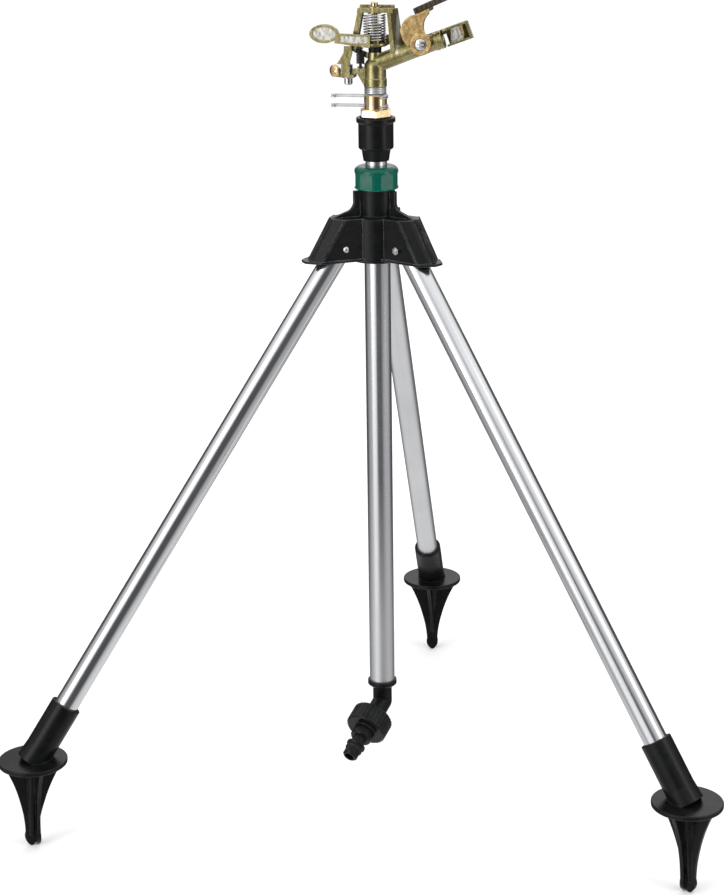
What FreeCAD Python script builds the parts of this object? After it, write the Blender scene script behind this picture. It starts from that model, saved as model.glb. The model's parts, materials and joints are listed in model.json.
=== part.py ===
import FreeCAD, Part
import math
import os
import re
import Sketcher

Vector = FreeCAD.Vector

# Frame: millimetres, +Z up, origin on the tripod's axis at the level of the spike tips.
# Radial distances are measured from that axis, and heights from the ground.
DIMENSIONS = [
    # tripod
    ("leg_azimuth_left", 200.4, "direction of the left leg, degrees from +X"),
    ("leg_azimuth_right", 320.4, "direction of the right leg"),
    ("leg_azimuth_rear", 80.4, "direction of the rear leg"),
    ("leg_splay", 34.2, "angle between an open leg and the vertical"),
    ("pivot_radius", 32.3, "leg pivot's distance from the axis"),
    ("pivot_height", 497.8, "leg pivot's height"),
    ("foot_distance", 507.3, "leg pivot to the middle of the foot plate"),
    ("leg_od", 20, "leg tube outside diameter"),
    ("leg_wall", 1, "leg tube wall"),
    ("leg_overhang", 14, "leg tube above its pivot"),
    ("leg_socket_gap", 10, "foot plate's middle to the tube's end"),
    ("pivot_pin", 3, "pivot bolt diameter"),
    ("pivot_hole", 3.1, "pivot bolt hole"),
    # foot
    ("sleeve_od", 26, "foot sleeve outside diameter"),
    ("sleeve_length", 56, "foot sleeve above the middle of the plate"),
    ("plate_od", 58.6, "foot plate diameter"),
    ("plate_thick", 4, "foot plate thickness"),
    ("plate_height", 78.2, "foot plate's middle above the spike tip"),
    ("spike_lean", 4.2, "outward lean of the spike"),
    ("spike_root", 54, "spike width at the plate"),
    ("spike_waist", 20, "spike width halfway"),
    ("spike_end", 10.6, "spike width near its tip"),
    ("fin_thick", 3, "spike fin thickness"),
    # centre tubes
    ("outer_od", 22, "fixed centre tube outside diameter"),
    ("outer_id", 20, "fixed centre tube bore"),
    ("outer_bottom", 100, "fixed centre tube's lower end"),
    ("outer_top", 541, "fixed centre tube's upper end"),
    ("inner_od", 18, "sliding tube outside diameter"),
    ("inner_id", 16, "sliding tube bore"),
    ("inner_bottom", 131, "sliding tube's lower end"),
    ("inner_top", 588, "sliding tube's upper end"),
    ("piston_od", 19.86, "piston on the sliding tube"),
    # hub
    ("hub_bottom", 487, "underside of the hub's wings"),
    ("hub_top", 522.5, "top of the hub's wings"),
    ("hub_round", 22, "hub's radius between its wings"),
    ("neck_od", 30.7, "hub neck"),
    ("neck_top", 544.6, "top of the hub neck"),
    ("spigot_od", 28.8, "hub spigot inside the clamp nut"),
    ("spigot_top", 555, "top of the hub spigot"),
    ("wing_half", 13, "half the width of a wing"),
    ("wing_side", 34, "wing side wall's reach at the top"),
    ("wing_nose", 41.3, "wing nose's reach at the top"),
    ("wing_wall", 2, "wing wall"),
    ("wing_slope", 30, "wing's outward slope from the vertical, degrees"),
    ("lip_thick", 2, "flared lip under a wing"),
    # clamp nut
    ("clamp_od", 36.8, "clamp nut outside diameter"),
    ("clamp_bottom", 545, "clamp nut's lower face"),
    ("clamp_top", 563.8, "clamp nut's upper face"),
    ("clamp_flat", 17.35, "axis to a grip flat of the clamp nut"),
    # inlet
    ("inlet_azimuth", 239.9, "direction of the hose inlet"),
    ("inlet_tilt", 27, "fall of the hose inlet, degrees"),
    ("elbow_height", 80.6, "height where the inlet's two axes cross"),
    ("stub_od", 16.8, "elbow pipe outside diameter"),
    ("ring_od", 25.6, "elbow collar around the tube's end"),
    ("connector_od", 37, "knurled hose connector"),
    ("connector_start", 17.4, "elbow's middle to the knurled connector, along the inlet"),
    ("nose_tip", 66.8, "elbow's middle to the nose's end"),
    ("nose_od", 13.4, "quick-connect nose"),
    # coupling and bearing
    ("coupling_od", 29.2, "tube coupling body"),
    ("coupling_flange", 32.5, "tube coupling flange"),
    ("coupling_bottom", 568.2, "tube coupling's lower end"),
    ("coupling_top", 604, "tube coupling's upper end"),
    ("hexagon", 24, "bearing nipple across flats"),
    ("nipple_od", 18.9, "bearing nipple sleeve"),
    ("nipple_bore", 13.1, "bearing nipple bore"),
    ("nipple_top", 622.4, "top of the bearing nipple"),
    ("bearing_od", 12.94, "turning bearing tube"),
    ("bearing_bore", 10, "water way in the bearing tube"),
    # head
    ("head_azimuth", -12, "direction in which the nozzle points"),
    ("barrel_bottom", 629, "underside of the sprinkler body"),
    ("barrel_od", 18, "sprinkler body barrel"),
    ("neck_height", 657, "top of the sprinkler body's neck"),
    ("nozzle_rise", 20.2, "nozzle's angle above the horizontal"),
    ("nozzle_origin", 647.3, "height where the nozzle axis meets the head axis"),
    ("nozzle_od", 13.4, "nozzle arm outside diameter"),
    ("nozzle_length", 60.3, "nozzle arm from the head axis to its mouth"),
    ("bridge_top", 694.7, "top of the bridge"),
    ("bridge_under", 689, "underside of the bridge's bar"),
    ("pin_od", 5, "fulcrum pin"),
    ("arm_bore", 5.2, "impact arm bushing bore"),
    ("arm_bottom", 661.7, "underside of the impact arm's hub"),
    ("coil_radius", 8.8, "arm spring's mean coil radius"),
    ("coil_wire", 1.2, "arm spring's wire"),
    ("knob_x", 40.6, "deflector knob along the nozzle"),
    ("knob_height", 664.9, "deflector knob's height"),
    ("knob_od", 17.6, "deflector knob diameter"),
    ("trip_x", -22.6, "trip lever pivot along the head"),
    ("trip_base", 636.7, "underside of the trip lever"),
    ("collar_wire", 1.2, "trip collar's wire"),
    ("collar_reach", 35.5, "trip collar handle's reach"),
]

document = FreeCAD.newDocument("sprinkler")
dims = document.addObject("Spreadsheet::Sheet", "dims")
for row, (alias, number, note) in enumerate(DIMENSIONS, start=1):
    dims.set(f"A{row}", note)
    dims.set(f"B{row}", str(number))
    dims.setAlias(f"B{row}", alias)
document.recompute()

NAMES = re.compile(r"\b(" + "|".join(entry[0] for entry in DIMENSIONS) + r")\b")
parts = []


def bind(formula):
    """Turn a formula of sheet names, such as 'leg_od / 2', into a document expression."""
    return NAMES.sub(r"dims.\1", str(formula))


def value(formula):
    """Work a formula out to a plain number."""
    return float(dims.evalExpression(bind(formula)))


def placement(position, turns=()):
    """Expression for a placement: three formulas, then turns as (axis, angle formula) pairs."""
    x, y, z = (bind(part) for part in position)
    rotations = [f"rotation(vector({axis}); {bind(angle)})" for axis, angle in turns]
    rotation = " * ".join(rotations) or "rotation(vector(0; 0; 1); 0)"
    return f"placement(vector({x}; {y}; {z}); {rotation})"


X_AXIS = "1; 0; 0"
Y_AXIS = "0; 1; 0"
Z_AXIS = "0; 0; 1"
HEAD = placement((0, 0, 0), [(Z_AXIS, "head_azimuth")])


def new_body(label, place=None):
    """Start a sub-part; its label is its name everywhere."""
    body = document.addObject("PartDesign::Body", label)
    body.Label = label
    if place:
        body.setExpression("Placement", place)
    parts.append(body)
    return body


def origin_feature(body, role):
    """One of the body's own origin planes or axes."""
    return next(item for item in body.Origin.OriginFeatures if item.Role == role)


def new_sketch(body, plane, offset):
    sketch = body.newObject("Sketcher::SketchObject", "outline")
    sketch.AttachmentSupport = [(origin_feature(body, plane), "")]
    sketch.MapMode = "FlatFace"
    if offset:
        sketch.setExpression("AttachmentOffset", offset)
    return sketch


def arc_between(start, end, radius):
    """The short arc from start to end; a positive radius turns to the left."""
    chord = end - start
    side = Vector(-chord.y, chord.x, 0).normalize()
    height = math.sqrt(radius ** 2 - (chord.Length / 2) ** 2)
    centre = (start + end) / 2 + side * math.copysign(height, radius)
    first, last = (start, end) if radius > 0 else (end, start)
    angle_a = math.atan2(first.y - centre.y, first.x - centre.x)
    angle_b = math.atan2(last.y - centre.y, last.x - centre.x)
    if angle_b <= angle_a:
        angle_b += 2 * math.pi
    circle = Part.Circle(centre, Vector(0, 0, 1), abs(radius))
    return Part.ArcOfCircle(circle, angle_a, angle_b)


def outline(body, corners, plane="XZ_Plane", offset=None):
    """A closed sketch through corners given as formulas, bound to the sheet.

    A corner with a third entry is reached by an arc of that radius, to the left if positive.
    """
    sketch = new_sketch(body, plane, offset)
    spots = [Vector(value(corner[0]), value(corner[1]), 0) for corner in corners]
    ends = []
    for index, corner in enumerate(corners):
        start, end = spots[index - 1], spots[index]
        if len(corner) == 3:
            radius = value(corner[2])
            sketch.addGeometry(arc_between(start, end, radius))
            ends.append((1, 2) if radius > 0 else (2, 1))
        else:
            sketch.addGeometry(Part.LineSegment(start, end))
            ends.append((1, 2))
    for index, corner in enumerate(corners):
        following = (index + 1) % len(corners)
        sketch.addConstraint(
            Sketcher.Constraint("Coincident", index, ends[index][1], following, ends[following][0]))
        for kind, formula in (("DistanceX", corner[0]), ("DistanceY", corner[1])):
            number = sketch.addConstraint(
                Sketcher.Constraint(kind, -1, 1, index, ends[index][1], value(formula)))
            sketch.setExpression(f"Constraints[{number}]", bind(formula))
        if len(corner) == 3:
            number = sketch.addConstraint(
                Sketcher.Constraint("Radius", index, abs(value(corner[2]))))
            sketch.setExpression(f"Constraints[{number}]", f"abs({bind(corner[2])})")
    return sketch


def round_outline(body, centre, radius, plane="XZ_Plane", offset=None, stretch=None):
    """A circle, or with stretch an ellipse whose other half-axis is stretch."""
    sketch = new_sketch(body, plane, offset)
    middle = Vector(value(centre[0]), value(centre[1]), 0)
    if stretch:
        tip = middle + Vector(value(radius), 0, 0)
        sketch.addGeometry(Part.Ellipse(tip, middle + Vector(0, value(stretch), 0), middle))
        return sketch
    sketch.addGeometry(Part.Circle(middle, Vector(0, 0, 1), value(radius)))
    constraints = [("DistanceX", centre[0]), ("DistanceY", centre[1])]
    for kind, formula in constraints:
        number = sketch.addConstraint(Sketcher.Constraint(kind, -1, 1, 0, 3, value(formula)))
        sketch.setExpression(f"Constraints[{number}]", bind(formula))
    number = sketch.addConstraint(Sketcher.Constraint("Radius", 0, value(radius)))
    sketch.setExpression(f"Constraints[{number}]", bind(radius))
    return sketch


def volume_change(body, feature):
    """Recompute a feature and return what it did to the body's volume."""
    before = feature.BaseFeature.Shape.Volume if feature.BaseFeature else 0
    body.Tip = feature
    document.recompute()
    return body.Shape.Volume - before


def extrude(body, sketch, length, cut=False, side="Symmetric", reverse=False):
    """Pad or pocket a sketch; symmetric unless told otherwise."""
    kind = "PartDesign::Pocket" if cut else "PartDesign::Pad"
    feature = body.newObject(kind, "cut" if cut else "pad")
    feature.Profile = sketch
    feature.SideType = side
    feature.Reversed = reverse
    feature.setExpression("Length", bind(length))
    change = volume_change(body, feature)
    if (change < 0) != cut:
        raise RuntimeError(f"{body.Label}: a feature changed the volume by {change:.3f}")
    return feature


def revolve(body, sketch, cut=False):
    """Turn a sketch a full turn about its own vertical axis."""
    kind = "PartDesign::Groove" if cut else "PartDesign::Revolution"
    feature = body.newObject(kind, "groove" if cut else "turned")
    feature.Profile = sketch
    feature.ReferenceAxis = (sketch, ["V_Axis"])
    feature.Angle = 360
    change = volume_change(body, feature)
    if (change < 0) != cut:
        raise RuntimeError(f"{body.Label}: a feature changed the volume by {change:.3f}")
    return feature


def loft(body, lower, upper, cut=False):
    """Loft between two closed sketches."""
    kind = "PartDesign::SubtractiveLoft" if cut else "PartDesign::AdditiveLoft"
    feature = body.newObject(kind, "hollow" if cut else "loft")
    feature.Profile = lower
    feature.Sections = [upper]
    feature.Ruled = True
    change = volume_change(body, feature)
    if (change < 0) != cut:
        raise RuntimeError(f"{body.Label}: a feature changed the volume by {change:.3f}")
    return feature


def around(body, feature, count):
    """Repeat a feature evenly about the body's Z axis."""
    pattern = body.newObject("PartDesign::PolarPattern", "pattern")
    pattern.Originals = [feature]
    pattern.Axis = (origin_feature(body, "Z_Axis"), [""])
    pattern.Angle = 360
    pattern.Occurrences = count
    body.Tip = pattern
    document.recompute()
    return pattern


def turned(label, corners, place=None):
    """A sub-part turned from one closed outline of (radius, height) corners."""
    body = new_body(label, place)
    revolve(body, outline(body, corners))
    return body


def ring(label, mean_radius, height, wire_radius, place=None):
    """An O-ring: a round section turned about Z."""
    body = new_body(label, place)
    revolve(body, round_outline(body, (mean_radius, height), wire_radius))
    return body


def washer(label, inner, outer, bottom, top, place=None):
    """A flat ring between two radii and two heights."""
    corners = [(inner, bottom), (outer, bottom), (outer, top), (inner, top)]
    return turned(label, corners, place)


def coil(label, mean_radius, wire, bottom, height, pitch, place=None):
    """A round-wire coil spring standing on the height bottom."""
    radius, low, rise = value(mean_radius), value(bottom), value(pitch)
    spine = document.addObject("Part::Helix", f"{label}_spine")
    spine.SegmentLength = 0
    spine.setExpression("Radius", bind(mean_radius))
    spine.setExpression("Pitch", bind(pitch))
    spine.setExpression("Height", bind(height))
    spine.Placement = FreeCAD.Placement(Vector(0, 0, low), FreeCAD.Rotation())
    section = document.addObject("Part::Circle", f"{label}_section")
    section.setExpression("Radius", f"({bind(wire)}) / 2")
    climb = math.degrees(math.atan(rise / (2 * math.pi * radius)))
    section.Placement = FreeCAD.Placement(
        Vector(radius, 0, low), FreeCAD.Rotation(Vector(1, 0, 0), climb - 90))
    sweep = document.addObject("Part::Sweep", label)
    sweep.Label = label
    sweep.Sections = [section]
    sweep.Spine = (spine, ["Edge1"])
    sweep.Solid = True
    sweep.Frenet = True
    if place:
        sweep.setExpression("Placement", place)
    parts.append(sweep)
    return sweep


def closed_coils(label, mean_radius, wire_radius, bottom, step, place):
    """Three touching coils of a spring as joined rings; bottom is the lowest ring's middle."""
    waist = math.sqrt(wire_radius ** 2 - (step / 2) ** 2)
    low, high = f"{bottom} + {step / 2}", f"{bottom} + {step * 1.5}"
    return turned(label, [
        (mean_radius, f"{bottom} - {wire_radius}", wire_radius),
        (mean_radius + waist, low, wire_radius), (mean_radius + waist, high, wire_radius),
        (mean_radius, f"{bottom} + {step * 2 + wire_radius}", wire_radius),
        (mean_radius - waist, high, wire_radius), (mean_radius - waist, low, wire_radius),
    ], place)


def hexagon_corners(across_flats, turn=0):
    """Corners of a hexagon about the origin; turn is in degrees."""
    corners = []
    for step in range(6):
        angle = 60 * step + 30 + turn
        reach = f"{across_flats} / (2 * cos(30))"
        corners.append((f"{reach} * cos({angle})", f"{reach} * sin({angle})"))
    return corners


# ---------------------------------------------------------------- tripod

def leg_frame(azimuth, tilt):
    """The leg's own frame: origin at its pivot, Z up along the tube."""
    spot = (f"pivot_radius * cos({azimuth})", f"pivot_radius * sin({azimuth})", "pivot_height")
    return placement(spot, [(Z_AXIS, azimuth), (Y_AXIS, tilt)])


def leg_tube(side):
    azimuth = f"leg_azimuth_{side}"
    body = turned(f"leg_tube_{side}", [
        ("leg_od / 2 - leg_wall", "leg_socket_gap - foot_distance"),
        ("leg_od / 2", "leg_socket_gap - foot_distance"),
        ("leg_od / 2", "leg_overhang"),
        ("leg_od / 2 - leg_wall", "leg_overhang"),
    ], leg_frame(azimuth, "-leg_splay"))
    extrude(body, round_outline(body, (0, 0), "pivot_hole / 2"), "leg_od * 2", cut=True)


def leg_bolt(side):
    """Pan-head bolt through both walls of the wing, head on the anticlockwise side."""
    azimuth = f"leg_azimuth_{side}"
    spot = (f"pivot_radius * cos({azimuth})", f"pivot_radius * sin({azimuth})", "pivot_height")
    head_face = "wing_half + 0.1"
    body = turned(f"leg_bolt_{side}", [
        (0, "-wing_half - 4.2"), ("pivot_pin / 2 - 0.4", "-wing_half - 4.2"),
        ("pivot_pin / 2", "-wing_half - 3.8"), ("pivot_pin / 2", head_face),
        (2.9, head_face), (2.9, "wing_half + 0.7"), (0, "wing_half + 2.4", 3.4),
    ], placement(spot, [(Z_AXIS, azimuth), (X_AXIS, -90)]))
    slot = outline(body, [(-0.35, "wing_half + 1.6"), (0.35, "wing_half + 1.6"),
                          (0.35, "wing_half + 3"), (-0.35, "wing_half + 3")])
    extrude(body, slot, 5, cut=True)


def leg_nut(side):
    azimuth = f"leg_azimuth_{side}"
    spot = (f"pivot_radius * cos({azimuth})", f"pivot_radius * sin({azimuth})", "pivot_height")
    body = new_body(f"leg_nut_{side}", placement(spot, [(Z_AXIS, azimuth), (X_AXIS, -90)]))
    face = placement((0, 0, "-wing_half - 3.2"))
    sketch = outline(body, hexagon_corners(5.5), "XY_Plane", face)
    extrude(body, sketch, 3.1, side="One side")
    hole = round_outline(body, (0, 0), "pivot_pin / 2 + 0.02", "XY_Plane")
    extrude(body, hole, "wing_half * 3", cut=True)


def foot(side):
    """Sleeve on the leg, round plate on the ground, and a finned spike below it."""
    azimuth = f"leg_azimuth_{side}"
    reach = "(pivot_radius + foot_distance * sin(leg_splay))"
    spot = (f"{reach} * cos({azimuth})", f"{reach} * sin({azimuth})", "plate_height")
    body = new_body(f"foot_{side}", placement(spot, [(Z_AXIS, azimuth)]))
    revolve(body, outline(body, [
        (0, "-plate_thick / 2"), ("plate_od / 2 - 1", "-plate_thick / 2"),
        ("plate_od / 2", "-plate_thick / 2 + 1", 1), ("plate_od / 2", "plate_thick / 2 - 1"),
        ("plate_od / 2 - 1", "plate_thick / 2", 1), (0, "plate_thick / 2 + 0.6"),
    ]))
    along_leg = placement((0, 0, 0), [(Z_AXIS, "leg_splay")])
    revolve(body, outline(body, [
        (0, 0), ("sleeve_od / 2 + 1.2", 0), ("sleeve_od / 2", 14),
        ("sleeve_od / 2", "sleeve_length - 0.8"), ("sleeve_od / 2 - 0.8", "sleeve_length", 0.8),
        (0, "sleeve_length"),
    ], offset=along_leg))
    lean = placement((0, 0, 0), [(Z_AXIS, "spike_lean")])
    fin = [
        ("-spike_root / 2", 0), ("-spike_waist / 2", -39.6, -140), ("-spike_end / 2", -66, -120),
        (0, "-plate_height / cos(spike_lean)", "spike_end * 0.95"),
        ("spike_end / 2", -66, "spike_end * 0.95"),
        ("spike_waist / 2", -39.6, -120), ("spike_root / 2", 0, -140),
    ]
    extrude(body, outline(body, fin, offset=lean), "fin_thick")
    extrude(body, outline(body, fin, "YZ_Plane",
                          placement((0, 0, 0), [(Y_AXIS, "spike_lean")])), "fin_thick")
    revolve(body, outline(body, [
        (0, 0), (0, -70), (2.6, -69), (4.2, -40), (6.5, 0)], offset=lean))
    socket = outline(body, [
        (0, "leg_socket_gap"), ("leg_od / 2 + 0.03", "leg_socket_gap"),
        ("leg_od / 2 + 0.03", "sleeve_length + 1"), (0, "sleeve_length + 1"),
    ], offset=along_leg)
    revolve(body, socket, cut=True)


def wing_outline(body, height, cavity=False):
    """Plan of one wing at a height, pointing along +X; the cavity is the same less its wall."""
    grow = f"(hub_top - {height}) * tan(wing_slope)"
    wall = "wing_wall" if cavity else "0"
    inner = "leg_od / 2 + 5.7" if cavity else "13"
    half = f"wing_half - {wall}"
    side = f"wing_side + {grow} - {wall}"
    nose = f"wing_nose + {grow} - {wall}"
    front = [
        (inner, f"-({half})"), (side, f"-({half})"), (f"{nose} - 1.2", f"-6.2 + {wall} / 2"),
    ]
    if not cavity:
        front += [(nose, -3.2), (f"{nose} - 1.5", -2.4)]
    mirrored = [(x, f"-({y})") for x, y in reversed(front)]
    return outline(body, front + mirrored, "XY_Plane", placement((0, 0, height)))


def tripod_hub():
    body = new_body("tripod_hub", placement((0, 0, 0), [(Z_AXIS, "leg_azimuth_rear")]))
    bore = "outer_od / 2 + 0.03"
    grip = "inner_od / 2 + 0.3"
    revolve(body, outline(body, [
        (bore, "hub_bottom - 2"), ("hub_round", "hub_bottom - 2"), ("hub_round", "hub_top - 2"),
        ("hub_round - 2", "hub_top", 2), ("neck_od / 2 + 1.5", "hub_top"),
        ("neck_od / 2", "hub_top + 1.5", -1.5), ("neck_od / 2", "neck_top"),
        ("spigot_od / 2", "neck_top"), ("spigot_od / 2", "spigot_top - 0.6"),
        ("spigot_od / 2 - 0.6", "spigot_top"), (12, "spigot_top"), (12, "spigot_top - 6"),
        (grip, "spigot_top - 6"), (grip, "outer_top + 0.1"), (bore, "outer_top + 0.1"),
    ]))
    wing = loft(body, wing_outline(body, "hub_bottom"), wing_outline(body, "hub_top"))
    around(body, wing, 3)
    grow = "(hub_top - hub_bottom) * tan(wing_slope)"
    bead = outline(body, [
        ("wing_side - 1.6", "hub_top"), (f"wing_side + {grow} - 1.6", "hub_bottom"),
        (f"wing_side + {grow} + 0.3", "hub_bottom"), ("wing_side + 0.3", "hub_top")])
    around(body, extrude(body, bead, "wing_half * 2 + 2.6"), 3)
    foot_reach = f"wing_side + {grow}"
    lip = outline(body, [
        (16, "-wing_half - 1.5"), (f"{foot_reach} + 1", "-wing_half - 1.5"),
        (f"{foot_reach} + 11", -5), (f"{foot_reach} + 11", 5, 40),
        (f"{foot_reach} + 1", "wing_half + 1.5"), (16, "wing_half + 1.5"),
    ], "XY_Plane", placement((0, 0, "hub_bottom")))
    around(body, extrude(body, lip, "lip_thick", side="One side"), 3)
    rib = outline(body, [
        (12, "neck_top - 0.6"), (12, "hub_top - 2"), ("wing_nose - 2", "hub_top - 2"),
        ("wing_nose - 2", "hub_top + 0.4"), (24.5, "hub_top + 5.5"), (20.5, "hub_top + 11.5", -9),
        (20.5, "neck_top - 0.6"),
    ])
    around(body, extrude(body, rib, 3), 3)
    hollow = loft(body, wing_outline(body, "hub_bottom - 0.01", True),
                  wing_outline(body, "hub_top - 3", True), cut=True)
    around(body, hollow, 3)
    hole = round_outline(body, ("pivot_radius", "pivot_height"), "pivot_hole / 2")
    around(body, extrude(body, hole, "wing_half * 2 + 6", cut=True), 3)


def clamp_nut():
    body = turned("clamp_nut", [
        ("spigot_od / 2 + 0.35", "clamp_bottom"), ("clamp_od / 2 - 0.5", "clamp_bottom"),
        ("clamp_od / 2", "clamp_bottom + 0.5"), ("clamp_od / 2", "clamp_top - 4.4"),
        ("clamp_od / 2 - 4.2", "clamp_top", 4.8), ("inner_od / 2 + 0.35", "clamp_top"),
        ("inner_od / 2 + 0.35", "clamp_top - 2.2"), (10.4, "clamp_top - 2.2"),
        (12.3, "spigot_top + 2"), (12.3, "spigot_top + 0.6"),
        ("spigot_od / 2 + 0.35", "spigot_top + 0.6"),
    ])
    flat = outline(body, [
        (-5.4, "clamp_bottom + 1.2"), (5.4, "clamp_bottom + 1.2"),
        (5.4, "clamp_top - 6.6"), (-5.4, "clamp_top - 6.6", 7.2),
    ], "YZ_Plane", placement((0, 0, "clamp_flat")))
    around(body, extrude(body, flat, 3, cut=True, side="One side", reverse=True), 6)


def clamp_collet():
    body = turned("clamp_collet", [
        ("inner_od / 2 + 0.06", "spigot_top - 5.9"), (11.8, "spigot_top - 5.9"),
        (11.8, "spigot_top + 1"), (10.1, "clamp_top - 2.8"),
        ("inner_od / 2 + 0.06", "clamp_top - 2.8"),
    ])
    split = outline(body, [(9, -0.8), (13, -0.8), (13, 0.8), (9, 0.8)], "XY_Plane",
                    placement((0, 0, "spigot_top - 3.5")))
    around(body, extrude(body, split, 12, cut=True, side="One side", reverse=True), 6)


def outer_tube():
    washer("outer_tube", "outer_id / 2", "outer_od / 2", "outer_bottom", "outer_top")


def inner_tube():
    washer("inner_tube", "inner_id / 2", "inner_od / 2", "inner_bottom", "inner_top")


def tube_piston():
    turned("tube_piston", [
        (6, "inner_bottom - 11"), ("piston_od / 2", "inner_bottom - 11"),
        ("piston_od / 2", "inner_bottom - 7.1"), (8.1, "inner_bottom - 7.1"),
        (8.1, "inner_bottom - 4.9"), ("piston_od / 2", "inner_bottom - 4.9"),
        ("piston_od / 2", "inner_bottom"), ("inner_id / 2 - 0.03", "inner_bottom"),
        ("inner_id / 2 - 0.03", "inner_bottom + 12"), (6, "inner_bottom + 12"),
    ])
    ring("piston_oring", 9.03, "inner_bottom - 6", 0.9)


# ---------------------------------------------------------------- hose inlet

INLET = placement((0, 0, "elbow_height"),
                  [(Z_AXIS, "inlet_azimuth"), (Y_AXIS, "90 + inlet_tilt")])


def inlet_elbow():
    """Pipe that turns from the tube's end to the hose, in the plane of the hose inlet."""
    body = new_body("inlet_elbow", placement((0, 0, 0), [(Z_AXIS, "inlet_azimuth")]))
    spigot = "outer_id / 2 - 0.05"
    revolve(body, outline(body, [
        (0, "elbow_height"), ("stub_od / 2", "elbow_height"), ("stub_od / 2", "outer_bottom - 4"),
        ("ring_od / 2 - 1", "outer_bottom - 2.5"), ("ring_od / 2", "outer_bottom - 1.5"),
        ("ring_od / 2", "outer_bottom + 1.9"), ("ring_od / 2 - 0.6", "outer_bottom + 2.5"),
        ("outer_od / 2 + 0.03", "outer_bottom + 2.5"), ("outer_od / 2 + 0.03", "outer_bottom"),
        (spigot, "outer_bottom"), (spigot, "outer_bottom + 8.9"), (8.2, "outer_bottom + 8.9"),
        (8.2, "outer_bottom + 11.1"), (spigot, "outer_bottom + 11.1"),
        (spigot, "outer_bottom + 17"), (0, "outer_bottom + 17"),
    ]))
    branch = placement((0, "elbow_height", 0), [(Z_AXIS, "-90 - inlet_tilt")])
    revolve(body, outline(body, [
        (0, -1), ("stub_od / 2", 0), ("stub_od / 2", "connector_start - 1"),
        (12.2, "connector_start"), (12.2, "connector_start + 0.4"),
        (12.9, "connector_start + 1"), (12.9, "connector_start + 12"),
        (12.2, "connector_start + 12.7"), (0, "connector_start + 12.7")], offset=branch))
    knuckle = placement((0, "elbow_height", 0))
    revolve(body, outline(body, [
        (0, "-stub_od / 2"), (0, "stub_od / 2", "stub_od / 2 + 0.001")], offset=knuckle))
    revolve(body, outline(body, [
        (0, -4), (6, -4), (6, "outer_bottom + 18 - elbow_height"),
        (0, "outer_bottom + 18 - elbow_height")], offset=knuckle), cut=True)
    mouth = "connector_start + 13"
    revolve(body, outline(body, [(0, -2), (6, -2), (6, mouth), (0, mouth)], offset=branch),
            cut=True)
    ring("elbow_oring", 9.08, "outer_bottom + 10", 0.85)


def hose_connector():
    """Knurled screw-on connector with a quick-connect nipple; Z runs along the inlet."""
    start, tip = "connector_start", "nose_tip"
    rim = "connector_od / 2 - 0.6"
    body = turned("hose_connector", [
        (13.1, f"{start} + 0.6"), (f"{rim} - 0.8", f"{start} + 0.6"), (rim, f"{start} + 1.4"),
        (rim, f"{start} + 17.2"), (f"{rim} - 1", f"{start} + 18.2"), (10, f"{start} + 18.2"),
        (9.6, f"{start} + 19"), (9.6, f"{tip} - 22.3"), (8.6, f"{tip} - 21"),
        (6.1, f"{tip} - 21"), (6.1, f"{tip} - 14.7"), (7.6, f"{tip} - 14.7"),
        (8.6, f"{tip} - 13.7"), (8.6, f"{tip} - 12.3"), (7.6, f"{tip} - 11.3"),
        (6.9, f"{tip} - 11.3"), (6.9, f"{tip} - 9.5"), (5.7, f"{tip} - 9.5"),
        (5.7, f"{tip} - 7.1"), (6.9, f"{tip} - 7.1"), ("nose_od / 2", f"{tip} - 6.9"),
        ("nose_od / 2", f"{tip} - 1.4"), ("nose_od / 2 - 1.4", tip), (4.4, tip),
        (4.4, f"{start} + 16"), (13.1, f"{start} + 16"),
    ], INLET)
    tooth = outline(body, [
        ("connector_od / 2 - 1", -0.9), ("connector_od / 2", -0.45),
        ("connector_od / 2", 0.45), ("connector_od / 2 - 1", 0.9),
    ], "XY_Plane", placement((0, 0, f"{start} + 1.6")))
    around(body, extrude(body, tooth, 15.4, side="One side"), 30)
    washer("connector_washer", 6.5, 12.6, f"{start} + 12.9", f"{start} + 15.8", INLET)
    ring("connector_oring", 6.75, f"{tip} - 8.3", 1, INLET)


# ---------------------------------------------------------------- coupling and bearing

def top_coupling():
    turned("top_coupling", [
        ("inner_od / 2 + 0.03", "coupling_bottom"), (10.65, "coupling_bottom"),
        (12.2, "coupling_bottom + 9.6"), ("coupling_od / 2 - 1", "coupling_bottom + 9.6"),
        ("coupling_od / 2", "coupling_bottom + 10.8"), ("coupling_od / 2", "coupling_top - 5"),
        ("coupling_flange / 2 - 0.6", "coupling_top - 4.2"),
        ("coupling_flange / 2", "coupling_top - 3.6"),
        ("coupling_flange / 2", "coupling_top - 0.6"),
        ("coupling_flange / 2 - 0.6", "coupling_top"), (10.4, "coupling_top"),
        (10.4, "inner_top + 1.6"), (7.5, "inner_top + 1.6"), (7.5, "inner_top"),
        ("inner_od / 2 + 0.03", "inner_top"),
    ])
    washer("nipple_seal", 10.5, 13.2, "coupling_top", "coupling_top + 0.8")


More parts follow.
